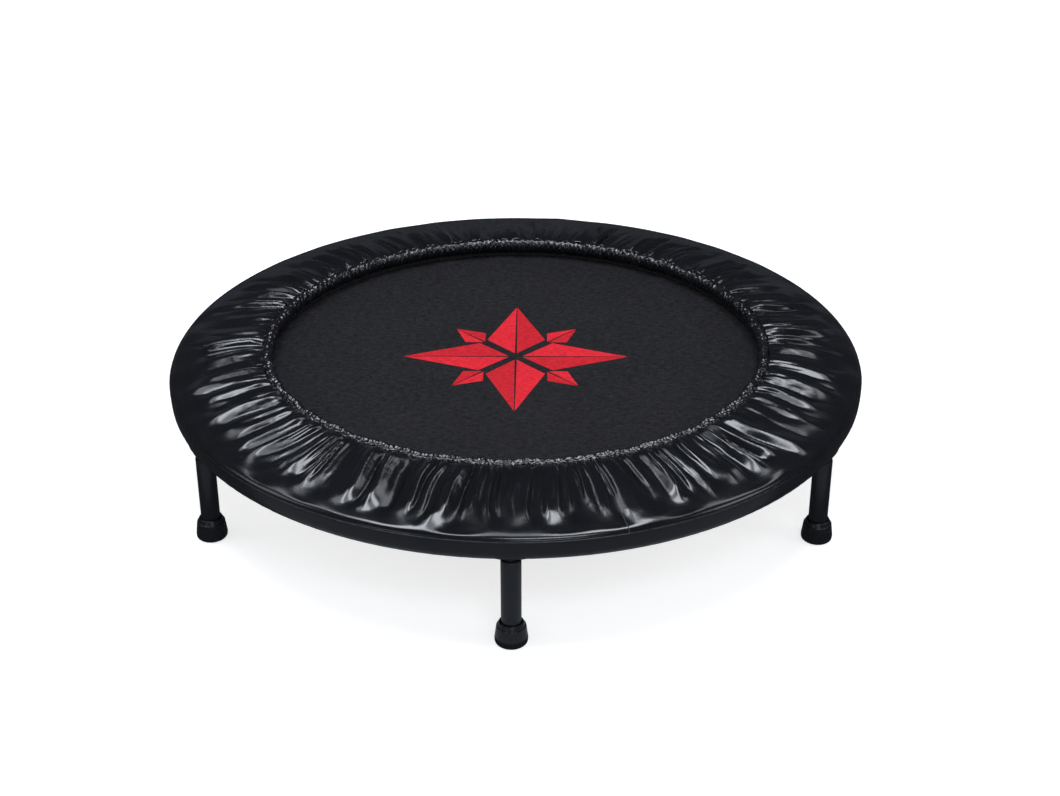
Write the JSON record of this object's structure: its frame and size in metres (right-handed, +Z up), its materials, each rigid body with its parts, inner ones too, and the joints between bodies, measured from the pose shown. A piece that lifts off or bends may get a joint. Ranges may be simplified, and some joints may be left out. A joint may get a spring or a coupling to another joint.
{
  "type": "mini trampoline",
  "caption": "Round mini trampoline: a woven mat hung on coil springs in a tube frame, a gathered padded cover, and screw-on legs with rubber feet.",
  "frame": {"origin": "on the floor, under the middle of the mat", "axes": "+Z up; one leg stands on the -Y side, and the others follow every 60 degrees; +X to the right seen from -Y"},
  "size_m": [0.965, 0.9762, 0.1795],
  "materials": {
    "black_steel": "satin black powder coat",
    "zinc_steel": "zinc plated spring wire",
    "woven_mat": "black woven polypropylene with a printed red badge",
    "webbing": "black webbing sewn round the mat, with steel wire rings",
    "vinyl": "glossy black vinyl, gathered",
    "foam": "black foam sheet",
    "elastic": "black elastic cord",
    "rubber": "matt black rubber",
    "plug_plastic": "black nylon with a brass thread"
  },
  "bodies": {
    "frame": {"frame_ring": "black_steel", "cover": "vinyl", "cover_pad": "foam", "cover_elastic": "elastic", "hem_elastic": "elastic", "spring_01": "zinc_steel", "spring_02": "zinc_steel", "spring_03": "zinc_steel", "spring_04": "zinc_steel", "spring_05": "zinc_steel", "spring_06": "zinc_steel", "spring_07": "zinc_steel", "spring_08": "zinc_steel", "spring_09": "zinc_steel", "spring_10": "zinc_steel", "spring_11": "zinc_steel", "spring_12": "zinc_steel", "spring_13": "zinc_steel", "spring_14": "zinc_steel", "spring_15": "zinc_steel", "spring_16": "zinc_steel", "spring_17": "zinc_steel", "spring_18": "zinc_steel", "spring_19": "zinc_steel", "spring_20": "zinc_steel", "spring_21": "zinc_steel", "spring_22": "zinc_steel", "spring_23": "zinc_steel", "spring_24": "zinc_steel", "spring_25": "zinc_steel", "spring_26": "zinc_steel", "spring_27": "zinc_steel", "spring_28": "zinc_steel", "spring_29": "zinc_steel", "spring_30": "zinc_steel"},
    "mat": {"mat": "woven_mat", "mat_band": "webbing"},
    "leg_1_thread": {"leg_1_plug": "plug_plastic"},
    "leg_1": {"leg_1_tube": "black_steel", "leg_1_foot": "rubber"},
    "leg_2_thread": {"leg_2_plug": "plug_plastic"},
    "leg_2": {"leg_2_tube": "black_steel", "leg_2_foot": "rubber"},
    "leg_3_thread": {"leg_3_plug": "plug_plastic"},
    "leg_3": {"leg_3_tube": "black_steel", "leg_3_foot": "rubber"},
    "leg_4_thread": {"leg_4_plug": "plug_plastic"},
    "leg_4": {"leg_4_tube": "black_steel", "leg_4_foot": "rubber"},
    "leg_5_thread": {"leg_5_plug": "plug_plastic"},
    "leg_5": {"leg_5_tube": "black_steel", "leg_5_foot": "rubber"},
    "leg_6_thread": {"leg_6_plug": "plug_plastic"},
    "leg_6": {"leg_6_tube": "black_steel", "leg_6_foot": "rubber"}
  },
  "joints": [
    {"name": "mat_bounce", "type": "slide", "parent": "frame", "child": "mat", "axis": [0, 0, -1], "range_m": [0, 0.08], "stiffness_N_per_m": 10000, "springref_m": -0.002, "deforming": ["spring_01", "spring_02", "spring_03", "spring_04", "spring_05", "spring_06", "spring_07", "spring_08", "spring_09", "spring_10", "spring_11", "spring_12", "spring_13", "spring_14", "spring_15", "spring_16", "spring_17", "spring_18", "spring_19", "spring_20", "spring_21", "spring_22", "spring_23", "spring_24", "spring_25", "spring_26", "spring_27", "spring_28", "spring_29", "spring_30"]},
    {"name": "leg_1_screw_out", "type": "slide", "parent": "frame", "child": "leg_1_thread", "axis": [0, 0, -1], "range_m": [0, 0.0135]},
    {"name": "leg_1_turn", "type": "hinge", "parent": "leg_1_thread", "child": "leg_1", "pos_m": [0, -0.4673, 0.06], "axis": [0, 0, -1], "range_deg": [0, 3240]},
    {"name": "leg_2_screw_out", "type": "slide", "parent": "frame", "child": "leg_2_thread", "axis": [0, 0, -1], "range_m": [0, 0.0135]},
    {"name": "leg_2_turn", "type": "hinge", "parent": "leg_2_thread", "child": "leg_2", "pos_m": [0.40469, -0.23365, 0.06], "axis": [0, 0, -1], "range_deg": [0, 3240]},
    {"name": "leg_3_screw_out", "type": "slide", "parent": "frame", "child": "leg_3_thread", "axis": [0, 0, -1], "range_m": [0, 0.0135]},
    {"name": "leg_3_turn", "type": "hinge", "parent": "leg_3_thread", "child": "leg_3", "pos_m": [0.40469, 0.23365, 0.06], "axis": [0, 0, -1], "range_deg": [0, 3240]},
    {"name": "leg_4_screw_out", "type": "slide", "parent": "frame", "child": "leg_4_thread", "axis": [0, 0, -1], "range_m": [0, 0.0135]},
    {"name": "leg_4_turn", "type": "hinge", "parent": "leg_4_thread", "child": "leg_4", "pos_m": [0, 0.4673, 0.06], "axis": [0, 0, -1], "range_deg": [0, 3240]},
    {"name": "leg_5_screw_out", "type": "slide", "parent": "frame", "child": "leg_5_thread", "axis": [0, 0, -1], "range_m": [0, 0.0135]},
    {"name": "leg_5_turn", "type": "hinge", "parent": "leg_5_thread", "child": "leg_5", "pos_m": [-0.40469, 0.23365, 0.06], "axis": [0, 0, -1], "range_deg": [0, 3240]},
    {"name": "leg_6_screw_out", "type": "slide", "parent": "frame", "child": "leg_6_thread", "axis": [0, 0, -1], "range_m": [0, 0.0135]},
    {"name": "leg_6_turn", "type": "hinge", "parent": "leg_6_thread", "child": "leg_6", "pos_m": [-0.40469, -0.23365, 0.06], "axis": [0, 0, -1], "range_deg": [0, 3240]}
  ],
  "couplings": [
    {"joint": "leg_1_screw_out", "follows": "leg_1_turn", "m_per_rad": 0.00023873},
    {"joint": "leg_2_screw_out", "follows": "leg_2_turn", "m_per_rad": 0.00023873},
    {"joint": "leg_3_screw_out", "follows": "leg_3_turn", "m_per_rad": 0.00023873},
    {"joint": "leg_4_screw_out", "follows": "leg_4_turn", "m_per_rad": 0.00023873},
    {"joint": "leg_5_screw_out", "follows": "leg_5_turn", "m_per_rad": 0.00023873},
    {"joint": "leg_6_screw_out", "follows": "leg_6_turn", "m_per_rad": 0.00023873}
  ]
}
